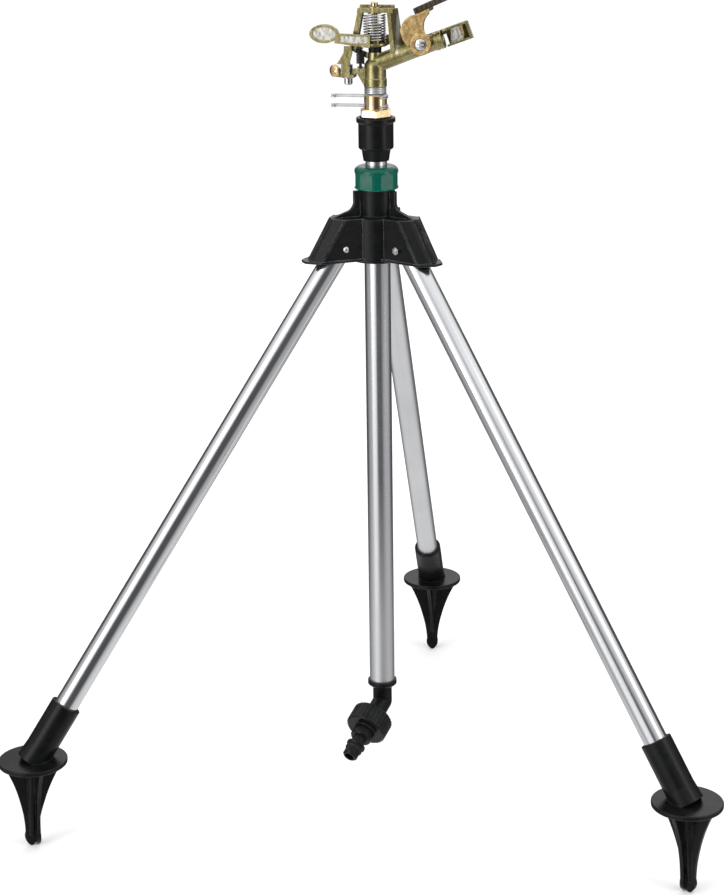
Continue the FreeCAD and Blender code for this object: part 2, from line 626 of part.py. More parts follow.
def bearing_nipple():
    """Brass nipple: thread in the coupling, hexagon, and the sleeve that the head turns on."""
    body = turned("bearing_nipple", [
        ("nipple_bore / 2", "coupling_top - 9"), (9.7, "coupling_top - 9"),
        (10.3, "coupling_top - 8.4"), (10.3, "coupling_top + 0.8"),
        (11.6, "coupling_top + 0.8"), (11.6, "coupling_top + 6.9"),
        ("nipple_od / 2", "coupling_top + 6.9"), ("nipple_od / 2", "nipple_top - 0.5"),
        ("nipple_od / 2 - 0.5", "nipple_top"), ("nipple_bore / 2", "nipple_top"),
    ], HEAD)
    nut = outline(body, hexagon_corners("hexagon", 15), "XY_Plane",
                  placement((0, 0, "coupling_top + 0.8")))
    extrude(body, nut, 6.1, side="One side")
    extrude(body, round_outline(body, (0, 0), "nipple_bore / 2", "XY_Plane",
                                placement((0, 0, "coupling_top + 12"))),
            12, cut=True, side="One side")
    corner = outline(body, [
        (11.9, "coupling_top + 6.95"), (15, "coupling_top + 4.9"), (15, "coupling_top + 6.95")])
    revolve(body, corner, cut=True)


def bearing_tube():
    top = "barrel_bottom + 11"
    flange = "coupling_top - 13"
    turned("bearing_tube", [
        ("bearing_bore / 2", flange), (8.2, flange), (8.2, f"{flange} + 1.6"),
        ("bearing_od / 2", f"{flange} + 1.6"), ("bearing_od / 2", top), ("bearing_bore / 2", top),
    ], HEAD)
    washer("bearing_washer_lower", "bearing_od / 2 + 0.03", 8.2,
           f"{flange} + 1.65", f"{flange} + 2.75", HEAD)
    washer("bearing_washer_upper", "bearing_od / 2 + 0.03", 8.2,
           f"{flange} + 2.8", f"{flange} + 3.9", HEAD)
    washer("spring_washer", "bearing_od / 2 + 0.1", 9.1, "nipple_top + 0.1", "nipple_top + 0.8",
           HEAD)
    closed_coils("bearing_spring", 8.25, 0.95, "nipple_top + 1.95", 1.8, HEAD)


# ---------------------------------------------------------------- head
# The head's own frame has X along the nozzle (level), Y to the nozzle's left and Z up.

ALONG_NOZZLE = placement((0, "nozzle_origin", 0), [(Z_AXIS, "nozzle_rise - 90")])


def sprinkler_body():
    """Casting: barrel, nozzle arm, bridge over the impact arm, and the trip lever's lug."""
    body = new_body("sprinkler_body", HEAD)
    base = "barrel_bottom"
    revolve(body, outline(body, [
        (0, base), (9.2, base), (9.5, f"{base} + 0.5"), (9.5, f"{base} + 6.6"),
        ("barrel_od / 2", f"{base} + 7.2"), ("barrel_od / 2", f"{base} + 16"),
        (6, f"{base} + 22", 9), (5.6, "neck_height"), (0, "neck_height"),
    ]))
    revolve(body, outline(body, [
        (0, 3), (7.4, 3), ("nozzle_od / 2", 34), ("nozzle_od / 2", "nozzle_length - 7.5"),
        (7.4, "nozzle_length - 7"), (7.4, "nozzle_length - 5"), (6.8, "nozzle_length - 4.6"),
        (6.8, "nozzle_length - 3.4"), (7.4, "nozzle_length - 3"), (7.4, "nozzle_length - 0.4"),
        (7, "nozzle_length"), (0, "nozzle_length"),
    ], offset=ALONG_NOZZLE))
    bar = [(-12.9, "bridge_under"), (15.8, "bridge_under"), (15.8, "bridge_under + 3"),
           (-12.9, "bridge_under + 3")]
    extrude(body, outline(body, bar), 11)
    for depth, drop in ((-4.6, 0), (4.6, 1.9)):
        rim = [(-13.7, "bridge_under"), (16.2, "bridge_under"),
               (15.7, f"bridge_top - {drop}"), (-12.9, f"bridge_top - {drop}")]
        extrude(body, outline(body, rim, offset=placement((0, 0, depth))), 1.9)
    extrude(body, round_outline(body, (0, 0), 5.6, "XY_Plane",
                                placement((0, 0, "bridge_under - 1"))), 5.6, side="One side")
    left_post = [(-12.9, "bridge_top - 2.6"), (-20.2, 659.6), (-15.6, 656.4),
                 (-9.4, "bridge_under")]
    extrude(body, outline(body, left_post), 7.6)
    foot_of_post = outline(body, [(14.4, -6.5), (18, -6.5), (23.6, 6.5), (14.4, 6.5)],
                           "XY_Plane", placement((0, 0, 656.2)))
    top_of_post = outline(body, [(11, -5.5), (13.8, -5.5), (18.2, 5.5), (11, 5.5)],
                          "XY_Plane", placement((0, 0, "bridge_under + 3")))
    loft(body, foot_of_post, top_of_post)
    right_rail = [(0, 650), (18.4, 656.2), (17, 660.6), (0, 654.6)]
    extrude(body, outline(body, right_rail), 7)
    left_rail = [(0, 648), (0, 653.6), (-15.6, 660), (-18.6, 657.4)]
    extrude(body, outline(body, left_rail, offset=placement((0, 0, -2.8))), 2)
    lug = [(-26.2, 639.5), (-14.5, 639.5), (-9.5, 631), (-4, 631), (-4, 644.5), (-16, 643.3),
           (-26.2, 643.3)]
    extrude(body, outline(body, lug), 7)
    revolve(body, outline(body, [
        (0, base), ("bearing_od / 2 + 0.03", base), ("bearing_od / 2 + 0.03", f"{base} + 11"),
        ("bearing_bore / 2", f"{base} + 11"), (3, f"{base} + 20"), (0, f"{base} + 20"),
    ]), cut=True)
    revolve(body, outline(body, [
        (0, 0), (4.6, 4), (4.6, "nozzle_length - 12"), (5.2, "nozzle_length - 12"),
        (5.2, "nozzle_length + 1"), (0, "nozzle_length + 1")], offset=ALONG_NOZZLE), cut=True)
    hole = round_outline(body, (0, 0), "pin_od / 2 + 0.02", "XY_Plane",
                         placement((0, 0, "bridge_top + 5")))
    extrude(body, hole, "bridge_top + 5 - neck_height + 7", cut=True, side="One side")
    pivot = round_outline(body, ("trip_x", 0), 2.08, "XY_Plane", placement((0, 0, 650)))
    extrude(body, pivot, 14, cut=True, side="One side")
    post_hole = round_outline(body, (-11.8, -2.3), 1.02, "XY_Plane", placement((0, 0, 650)))
    extrude(body, post_hole, 9, cut=True, side="One side")
    screw_hole = round_outline(body, ("knob_x", "knob_height"), 1.52, offset=placement((0, 0, 8)))
    extrude(body, screw_hole, 3.2, cut=True, side="One side")


def range_nozzle():
    turned("range_nozzle", [
        (3.6, "nozzle_length - 11.8"), (5.17, "nozzle_length - 11.8"),
        (5.17, "nozzle_length + 0.05"), (2.6, "nozzle_length + 0.05"),
        (2.2, "nozzle_length - 1.5"),
    ], placement((0, 0, "nozzle_origin"),
                 [(Z_AXIS, "head_azimuth"), (Y_AXIS, "90 - nozzle_rise")]))


def fulcrum_pin():
    turned("fulcrum_pin", [
        (0, "neck_height - 6.8"), ("pin_od / 2", "neck_height - 6.8"),
        ("pin_od / 2", "bridge_under + 4.65"), (2.85, "bridge_under + 4.65"),
        (2.85, "bridge_top + 2"), (2.5, "bridge_top + 2.4"), (0, "bridge_top + 2.4"),
    ], HEAD)
    washer("arm_washer_lower", "pin_od / 2 + 0.03", 5.3, "neck_height + 0.08",
           "neck_height + 2.2", HEAD)
    washer("arm_washer_upper", "pin_od / 2 + 0.03", 5.4, "neck_height + 2.25",
           "arm_bottom - 0.35", HEAD)


def impact_arm():
    """Hub on the pin, counterweight to the left in front, and the spoon before the nozzle."""
    body = new_body("impact_arm", HEAD)
    base = "arm_bottom"
    revolve(body, outline(body, [
        (4.1, base), (9, base), (11.2, f"{base} + 1.4"), (11.2, f"{base} + 2.8"),
        (5.9, f"{base} + 2.8"), (5.6, f"{base} + 18"), (4.1, f"{base} + 18"),
    ]))
    extrude(body, outline(body, [
        (-31, f"{base} + 3.5"), (-4, base), (-1.5, base), (-1.5, f"{base} + 10.2"),
        (-31, f"{base} + 11.4"),
    ], offset=placement((0, 0, 11.4))), 3)
    oval = (-39.6, f"{base} + 10.9")
    extrude(body, round_outline(body, oval, 12, offset=placement((0, 0, 11.4)), stretch=7.5), 4.6)
    for depth in (9.1, 13.7):
        hollow = placement((0, 0, depth))
        extrude(body, round_outline(body, oval, 9.6, offset=hollow, stretch=5.3), 2.6, cut=True)
    extrude(body, outline(body, [
        (-26.5, f"{base} + 4.8"), (-3.5, f"{base} + 1.8"), (-3.5, f"{base} + 8.6"),
        (-26.5, f"{base} + 9.6"),
    ], offset=placement((0, 0, 12.9))), 1.6, cut=True)
    extrude(body, outline(body, [
        (-2, base), (24, f"{base} + 0.6"), (36, f"{base} + 1.6"), (58, f"{base} + 9.8"),
        (57.6, f"{base} + 14.4"), (38, f"{base} + 7.4"), (-2, f"{base} + 8.6"),
    ], offset=placement((0, 0, -11.4))), 3)
    deck = placement((0, 0, "nozzle_origin"), [(Y_AXIS, "-nozzle_rise")])
    vane = [(61.9, 12.9), (61.9, 10.6), (73, 10.6), (82.2, -3, -12.5), (84.4, -3), (74, 12.9, 15)]
    extrude(body, outline(body, vane, "XY_Plane", deck), 14.6)
    flange = [(61.9, 12.9), (61.9, -1), (82.2, -3), (84.4, -3), (74, 12.9, 15)]
    for rise in (-6.5, 6.5):
        tier = placement((f"-{rise} * sin(nozzle_rise)", 0,
                          f"nozzle_origin + {rise} * cos(nozzle_rise)"),
                         [(Y_AXIS, "-nozzle_rise")])
        extrude(body, outline(body, flange, "XY_Plane", tier), 1.6)
    washer("arm_bushing", "arm_bore / 2", 4.07, f"{base} - 0.2", f"{base} + 18.3", HEAD)
    coil("arm_spring", "coil_radius", "coil_wire", f"{base} + 4", 21.6, 2.16, HEAD)


KNOB = placement(
    ("knob_x * cos(head_azimuth)", "knob_x * sin(head_azimuth)", "knob_height"),
    [(Z_AXIS, "head_azimuth"), (X_AXIS, 90)])


def knob_level(depth):
    """A plane square to the knob's axis, depth in front of the head's middle plane."""
    return placement((0, 0, depth))


def deflector():
    """Knurled knob beside the nozzle arm, the curved arm it clamps, and the flap on top.

    X and Y here are level and upright distances from the knob's axis; Z points to the front.
    """
    body = new_body("deflector_arm", KNOB)
    knob = round_outline(body, (0, 0), "knob_od / 2 - 0.8", "XY_Plane", knob_level(8.1))
    extrude(body, knob, 7, side="One side")
    tooth = outline(body, [
        ("knob_od / 2 - 1.2", -0.85), ("knob_od / 2", -0.4), ("knob_od / 2", 0.4),
        ("knob_od / 2 - 1.2", 0.85)], "XY_Plane", knob_level(8.9))
    around(body, extrude(body, tooth, 5.4, side="One side"), 28)
    web = outline(body, [
        (-10.9, -1.5), (-16.8, 11.5, -20), (-8.3, 22.9, -15), (-2.3, 24.1), (6.3, 27.5),
        (6.3, 23.9), (1.9, 14.5, 12), (5.3, 5.3, 12),
    ], "XY_Plane", knob_level(11))
    extrude(body, web, 5)
    shelf = outline(body, [(-4.9, 22.1), (7.1, 26.3), (7.1, 28.7), (-4.9, 23.5)], "XY_Plane",
                    knob_level(4))
    extrude(body, shelf, 19)
    bore = round_outline(body, (0, 0), 2.08, "XY_Plane", knob_level(17))
    extrude(body, bore, 10, cut=True, side="One side")
    seat = round_outline(body, (0, 0), 5.2, "XY_Plane", knob_level(17))
    extrude(body, seat, 3.4, cut=True, side="One side")

    flap = new_body("deflector_plate", HEAD)
    slope = placement(("knob_x - 4.3", 0, "knob_height + 23.9"), [(Y_AXIS, -23.4)])
    serration = [(1 + 2 * step, -8.6 if step % 2 else -9.5) for step in range(13)]
    plan = [(-1, -9.5)] + serration + [
        (27, -9.5), (29.2, -6.4), (26.6, -3.4), (30, 0), (27, 3.4), (29.2, 6.4), (27, 9.5),
        (-1, 9.5)]
    extrude(flap, outline(flap, plan, "XY_Plane", slope), 4.8, side="One side")

    screw = new_body("deflector_screw", KNOB)
    revolve(screw, outline(screw, [
        (0, 5.3), (1.5, 5.3), (1.5, 8), (2, 8), (2, 13.65), (4.9, 13.65), (4.9, 14.6),
        (0, 15.9, 10.5),
    ]))
    for turn in (0, 90):
        cross = outline(screw, [(-2.7, -0.5), (2.7, -0.5), (2.7, 0.5), (-2.7, 0.5)], "XY_Plane",
                        placement((0, 0, 16), [(Z_AXIS, turn)]))
        extrude(screw, cross, 1.5, cut=True, side="One side")


def trip_mechanism():
    """Lever that turns on an upright screw, with its stop screw, spring and collars."""
    lever = new_body("trip_lever", HEAD)
    base = "trip_base"
    plan = [(-16.2, -8), (-16.2, 3), (-19, 5.5), (-28, 5.5), (-34.6, 1.6), (-36.2, -1.8),
            (-27.3, -6.1), (-26.8, -8)]
    extrude(lever, outline(lever, plan, "XY_Plane", placement((0, 0, base))), 2.2,
            side="One side")
    shield = [(-26.8, base), (-19.6, base), (-19.6, 649.4), (-17.4, 657), (-18, 662.3),
              (-24.2, 662.3), (-24.6, 657), (-27.4, 652.4), (-30.6, 648), (-26.8, 647.4)]
    extrude(lever, outline(lever, shield, offset=placement((0, 0, 7))), 2)
    facing = placement((-32.2, f"{base} + 1", 2.6), [(Y_AXIS, -26)])
    ear = outline(lever, [(-3.8, 0), (3.8, 0), (3.8, 5), (-3.8, 5, 4)], offset=facing)
    extrude(lever, ear, 2.4)
    hole = round_outline(lever, ("trip_x", 0), 2.08, "XY_Plane", placement((0, 0, 645)))
    extrude(lever, hole, 12, cut=True, side="One side")
    screw_way = round_outline(lever, (0, 4.2), 1.53, offset=facing)
    extrude(lever, screw_way, 4, cut=True)

    ear_height = f"({base} + 5.2)"
    screw_place = placement(
        ("-32.2 * cos(head_azimuth) + 2.6 * sin(head_azimuth)",
         "-32.2 * sin(head_azimuth) - 2.6 * cos(head_azimuth)", ear_height),
        [(Z_AXIS, "head_azimuth - 26"), (X_AXIS, 90)])
    screw = new_body("trip_screw", screw_place)
    revolve(screw, outline(screw, [
        (0, -3.6), (1.5, -3.6), (1.5, 1.25), (5.2, 1.25), (5.2, 2.2), (0, 4, 9)]))
    for turn in (45, 135):
        cross = outline(screw, [(-3, -0.55), (3, -0.55), (3, 0.55), (-3, 0.55)], "XY_Plane",
                        placement((0, 0, 4), [(Z_AXIS, turn)]))
        extrude(screw, cross, 1.4, cut=True, side="One side")
    nut = new_body("trip_screw_nut", screw_place)
    extrude(nut, outline(nut, hexagon_corners(5), "XY_Plane", placement((0, 0, -3.1))), 1.8,
            side="One side")
    extrude(nut, round_outline(nut, (0, 0), 1.53, "XY_Plane"), 12, cut=True)

    pin_place = placement(("trip_x * cos(head_azimuth)", "trip_x * sin(head_azimuth)", 0),
                          [(Z_AXIS, "head_azimuth")])
    pin = turned("trip_pin", [
        (0, f"{base} - 6.4"), (2.6, f"{base} - 6.4"), (3.4, f"{base} - 5.6"),
        (3.4, f"{base} - 1.4"), (4.8, f"{base} - 0.9"), (4.8, f"{base} - 0.1"),
        (2, f"{base} - 0.1"), (2, "647.6"), (0, "647.6"),
    ], pin_place)
    socket = outline(pin, hexagon_corners(3), "XY_Plane", placement((0, 0, f"{base} - 7")))
    extrude(pin, socket, 3.4, cut=True, side="One side", reverse=True)
    nut = new_body("trip_pin_nut", pin_place)
    extrude(nut, outline(nut, hexagon_corners(7, 8), "XY_Plane", placement((0, 0, 643.35))), 3.1,
            side="One side")
    extrude(nut, round_outline(nut, (0, 0), 2.02, "XY_Plane", placement((0, 0, 645))), 8,
            cut=True)

    post_place = placement(
        ("-11.8 * cos(head_azimuth) + 2.3 * sin(head_azimuth)",
         "-11.8 * sin(head_azimuth) - 2.3 * cos(head_azimuth)", 0))
    turned("trip_spring_post", [
        (0, 641.1), (1, 641.1), (1, 644.4), (2.6, 644.4), (2.6, 645.2), (1.2, 645.2),
        (1.2, 659), (2.2, 659.4), (2.2, 661), (1.5, 661.6), (0, 661.6)], post_place)
    coil("trip_spring", 2.9, 1.2, 647.6, 10.8, 1.4, post_place)


def collar_wire(label, height):
    """Spring wire doubled round the back of the nipple, with both ends led out as a handle."""
    wire = value("collar_wire") / 2
    grip = value("nipple_od") / 2 + wire + 0.03
    half_gap = 0.8
    lead = 4.0
    bend = 1.8
    tip = -value("collar_reach")
    hook = 1.9
    bend_x = -math.sqrt((grip + bend) ** 2 - (lead + bend) ** 2)
    share = grip / (grip + bend)
    join = math.atan2((lead + bend) * share, bend_x * share)
    last = math.radians(-48)

    def at(radius, angle, z, x=0.0, y=0.0):
        return Vector(x + radius * math.cos(angle), y + radius * math.sin(angle), z)

    def arc(radius, first, second, z, x=0.0, y=0.0):
        middle = (first + second) / 2
        return Part.Arc(at(radius, first, z, x, y), at(radius, middle, z, x, y),
                        at(radius, second, z, x, y)).toShape()

    def half(z):
        turn = math.atan2(lead + bend, bend_x) - math.pi
        return [
            arc(hook, math.radians(330), math.radians(90), z, tip, lead - hook),
            Part.LineSegment(Vector(tip, lead, z), Vector(bend_x, lead, z)).toShape(),
            arc(bend, -math.pi / 2, turn, z, bend_x, lead + bend),
            arc(grip, join, last, z),
        ]

    top, bottom = height + half_gap, height - half_gap
    along = Vector(math.sin(last), -math.cos(last), 0)
    turn_back = Part.Arc(
        at(grip, last, top), at(grip, last, height) + along * half_gap,
        at(grip, last, bottom)).toShape()
    edges = half(top) + [turn_back] + half(bottom)[::-1]
    path = Part.Wire(Part.__sortEdges__(edges))
    start = at(hook, math.radians(330), top, tip, lead - hook)
    tangent = Vector(-math.sin(math.radians(330)), math.cos(math.radians(330)), 0)
    section = Part.Wire([Part.makeCircle(wire, start, tangent)])
    solid = path.makePipeShell([section], True, True)
    feature = document.addObject("Part::Feature", label)
    feature.Label = label
    feature.Shape = solid
    feature.setExpression("Placement", HEAD)
    parts.append(feature)


def trip_collars():
    collar_wire("trip_collar_upper", value("nipple_top") - 1.6)
    collar_wire("trip_collar_lower", value("nipple_top") - 9.6)


def build():
    for side in ("left", "right", "rear"):
        leg_tube(side)
        leg_bolt(side)
        leg_nut(side)
        foot(side)
    tripod_hub()
    clamp_nut()
    clamp_collet()
    outer_tube()
    inner_tube()
    tube_piston()
    inlet_elbow()
    hose_connector()
    top_coupling()
    bearing_nipple()
    bearing_tube()
    sprinkler_body()
    range_nozzle()
    fulcrum_pin()
    impact_arm()
    deflector()
    trip_mechanism()
    trip_collars()


def check_document():
    """Stop if any object failed or any sub-part is empty or invalid."""
    document.recompute()
    failed = [item.Name for item in document.Objects
              if {"Invalid", "Error"} & set(item.State)]
    broken = [item.Label for item in parts
              if item.Shape.isNull() or not item.Shape.isValid() or not item.Shape.Solids]
    if failed or broken:
        raise RuntimeError(f"failed objects {failed}, broken sub-parts {broken}")


build()
check_document()
os.makedirs("parts", exist_ok=True)
for part in parts:
    part.Shape.exportStep(f"parts/{part.Label}.step")
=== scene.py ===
import json
import math

import bmesh
import bpy
from mathutils import Matrix, Vector


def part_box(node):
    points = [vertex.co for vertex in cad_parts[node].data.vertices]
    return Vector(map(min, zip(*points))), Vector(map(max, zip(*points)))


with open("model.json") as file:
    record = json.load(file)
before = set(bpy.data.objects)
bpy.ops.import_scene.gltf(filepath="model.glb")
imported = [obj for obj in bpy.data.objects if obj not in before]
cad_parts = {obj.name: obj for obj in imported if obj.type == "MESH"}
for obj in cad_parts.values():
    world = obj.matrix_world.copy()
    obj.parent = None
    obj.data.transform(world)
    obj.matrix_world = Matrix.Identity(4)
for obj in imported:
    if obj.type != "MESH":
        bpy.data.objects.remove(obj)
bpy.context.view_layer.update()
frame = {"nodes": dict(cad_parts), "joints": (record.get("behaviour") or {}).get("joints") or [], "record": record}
nodes = frame["nodes"]
joints = {joint["name"]: joint for joint in frame["joints"]}

HEAD_TURN = math.radians(-12)


# ---------------------------------------------------------------- shader nodes

def add(tree, kind, inputs=None, **settings):
    """Add a shader node; an input is another node's output socket or a plain value."""
    node = tree.nodes.new(kind)
    for key, setting in settings.items():
        setattr(node, key, setting)
    for key, source in (inputs or {}).items():
        if isinstance(source, bpy.types.NodeSocket):
            tree.links.new(source, node.inputs[key])
        else:
            node.inputs[key].default_value = source
    return node


def maths(tree, operation, first, second=0.0):
    """A math node's result; each operand is a socket or a number."""
    return add(tree, "ShaderNodeMath", {0: first, 1: second}, operation=operation).outputs[0]


def remap(tree, source, low, high, new_low=0.0, new_high=1.0):
    """Linear remap from low..high to new_low..new_high, clamped."""
    return add(tree, "ShaderNodeMapRange", {
        "Value": source, "From Min": low, "From Max": high,
        "To Min": new_low, "To Max": new_high}).outputs[0]


def blend_colour(tree, factor, first, second, mode="MIX"):
    """Mix two colours by a factor, or multiply them."""
    node = add(tree, "ShaderNodeMix", {0: factor, 6: first, 7: second},
               data_type="RGBA", blend_type=mode)
    return node.outputs[2]


def rgba(colour, gain=1.0):
    """A colour made brighter by gain, with the alpha that sockets want."""
    return (colour[0] * gain, colour[1] * gain, colour[2] * gain, 1.0)


def noise(tree, place, scale, detail=3.0, roughness=0.55):
    """Cloudy grey noise; scale is in waves per metre."""
    return add(tree, "ShaderNodeTexNoise", {
        "Vector": place, "Scale": scale, "Detail": detail, "Roughness": roughness}).outputs["Fac"]


def head_box(tree, position, middle, half):
    """1 inside a box given in the head's own frame, X along the nozzle, and 0 outside."""
    local = add(tree, "ShaderNodeMapping", {"Vector": position, "Rotation": (0, 0, HEAD_TURN)},
                vector_type="TEXTURE").outputs["Vector"]
    away = add(tree, "ShaderNodeVectorMath", {0: local, 1: middle},
               operation="SUBTRACT").outputs["Vector"]
    share = add(tree, "ShaderNodeVectorMath", {0: away, 1: half}, operation="DIVIDE")
    size = add(tree, "ShaderNodeVectorMath", {0: share.outputs["Vector"]},
               operation="ABSOLUTE").outputs["Vector"]
    sides = add(tree, "ShaderNodeSeparateXYZ", {0: size}).outputs
    widest = maths(tree, "MAXIMUM", maths(tree, "MAXIMUM", sides["X"], sides["Y"]), sides["Z"])
    return remap(tree, widest, 1.04, 0.94)


def surface(name, colour, patch_colour, rough, metallic=0.0, patch=90.0, grain=2500.0,
            stretch=(1.0, 1.0, 1.0), turn=(0.0, 0.0, 0.0), bump=0.00003, edge_wear_highlight_gain=1.0,
            edge_radius=0.0006, edge_patchiness=0.5, specular=0.5, coat=0.0, dips=None, painted_light_boxes=(),
            speckle=(0.88, 1.1), matt_below=None):
    """A finish with patches of a second colour, a fine grain, and rounded edges lightened unevenly, partly as
    rubbed wear and partly as painted highlight.

    dips is a scale and depth of shallow cast waviness; the painted light boxes are given in the
    head's frame and take another colour, a painted reflection or painted shade; below matt_below, in metres, the
    finish grows duller.
    """
    material = bpy.data.materials.new(name)
    material.use_nodes = True
    tree = material.node_tree
    tree.nodes.clear()
    position = add(tree, "ShaderNodeTexCoord").outputs["Object"]
    turned = add(tree, "ShaderNodeMapping", {"Vector": position, "Rotation": turn},
                 vector_type="TEXTURE").outputs["Vector"]
    grained = add(tree, "ShaderNodeMapping", {"Vector": turned, "Scale": stretch}).outputs["Vector"]
    cloud = noise(tree, turned, patch, 4.0, 0.6)
    fine = noise(tree, grained, grain)
    rounded = add(tree, "ShaderNodeBevel", {"Radius": edge_radius}, samples=4).outputs["Normal"]
    flat = add(tree, "ShaderNodeNewGeometry").outputs["Normal"]
    facing = add(tree, "ShaderNodeVectorMath", {0: rounded, 1: flat},
                 operation="DOT_PRODUCT").outputs["Value"]
    edge = remap(tree, facing, 0.995, 0.86)
    # Edges lightened in uneven patches: partly rubbed wear, partly painted highlight.
    worn_highlight_edge = maths(tree, "MULTIPLY", edge, remap(tree, cloud, 0.35, 0.6, 1.0 - edge_patchiness, 1.0))
    patches = remap(tree, cloud, 0.38, 0.64)
    base = blend_colour(tree, patches, rgba(colour), rgba(patch_colour))
    dots = remap(tree, fine, 0.3, 0.7, *speckle)
    base = blend_colour(tree, 1.0, base, dots, "MULTIPLY")
    # Boxes of painted reflection and painted shade on the castings.
    for middle, half, painted_tone in painted_light_boxes:
        base = blend_colour(tree, head_box(tree, position, middle, half), base, rgba(painted_tone))
    # Painted highlight and rubbed wear: edges take the colour made brighter by the edge gain.
    base = blend_colour(tree, worn_highlight_edge, base, rgba(colour, edge_wear_highlight_gain))
    worn_rough = maths(tree, "ADD", remap(tree, fine, 0.3, 0.7, rough[0], rough[1]),
                       remap(tree, cloud, 0.3, 0.7, -0.04, 0.05))
    if matt_below:
        height = add(tree, "ShaderNodeSeparateXYZ", {0: position}).outputs["Z"]
        dull = remap(tree, height, matt_below, matt_below - 0.15, 0.0, 0.22)
        worn_rough = maths(tree, "ADD", worn_rough, dull)
    if dips:
        waves = noise(tree, turned, dips[0], 2.0, 0.5)
        rounded = add(tree, "ShaderNodeBump", {
            "Height": waves, "Distance": dips[1], "Strength": 1.0, "Normal": rounded,
        }).outputs["Normal"]
    normal = add(tree, "ShaderNodeBump", {
        "Height": fine, "Distance": bump, "Strength": 0.8, "Normal": rounded}).outputs["Normal"]
    shader = add(tree, "ShaderNodeBsdfPrincipled", {
        "Base Color": base, "Roughness": worn_rough, "Metallic": metallic, "Normal": normal,
        "Specular IOR Level": specular, "Coat Weight": coat, "Coat Roughness": 0.15})
    add(tree, "ShaderNodeOutputMaterial", {"Surface": shader.outputs["BSDF"]})
    return material


def tube_finish(name, axis, rough, matt_below=None):
    """Drawn aluminium: fine lines along the tube's own axis."""
    turn = Vector((0, 0, 1)).rotation_difference(axis).to_euler()
    return surface(name, ALUMINIUM, ALUMINIUM_DULL, rough, metallic=1.0, patch=14.0, grain=1.0,
                   stretch=(1900.0, 1900.0, 6.0), turn=turn, bump=0.000002, edge_wear_highlight_gain=1.05,
                   speckle=(0.95, 1.04), matt_below=matt_below)


# ---------------------------------------------------------------- finishes

ALUMINIUM = (0.62, 0.625, 0.64)
ALUMINIUM_DULL = (0.58, 0.585, 0.60)
# Light grey painted on flat faces as a reflection of the white room.
PAINTED_REFLECTION_GREY = (0.56, 0.55, 0.50)
# Dark olive painted in the spoon's cup as its shade.
CUP_PAINTED_SHADE = (0.10, 0.088, 0.032)
MAST_ROUGH = (0.2, 0.28)
MAST_MATT_BELOW = 0.3
FRONT_LEG_ROUGH = (0.12, 0.2)
REAR_LEG_ROUGH = (0.34, 0.42)
# Painted highlight lines along the hub's edges and beads.
HUB_EDGE_HIGHLIGHT_GAIN = 48.0
# Boxes in the head's frame, in metres: middle, half sizes, colour. The light grey boxes are
# painted reflection on flat faces; the dark olive box is painted shade in the spoon's cup.
ARM_PAINTED_LIGHT = (
    ((-0.0396, -0.0114, 0.6726), (0.0098, 0.0013, 0.0056), PAINTED_REFLECTION_GREY),
    ((-0.0150, -0.0121, 0.6680), (0.0110, 0.0006, 0.0028), PAINTED_REFLECTION_GREY),
    # Painted shade inside the spoon's cup.
    ((0.0735, 0.0060, 0.6740), (0.0150, 0.0090, 0.0150), CUP_PAINTED_SHADE),
    ((0.0665, 0.0100, 0.6720), (0.0055, 0.0012, 0.0150), PAINTED_REFLECTION_GREY),
)
# Painted reflection on the outer face of the body's right post.
BODY_PAINTED_LIGHT = (
    ((0.0190, 0.0, 0.6720), (0.0012, 0.0080, 0.0150), PAINTED_REFLECTION_GREY),
)
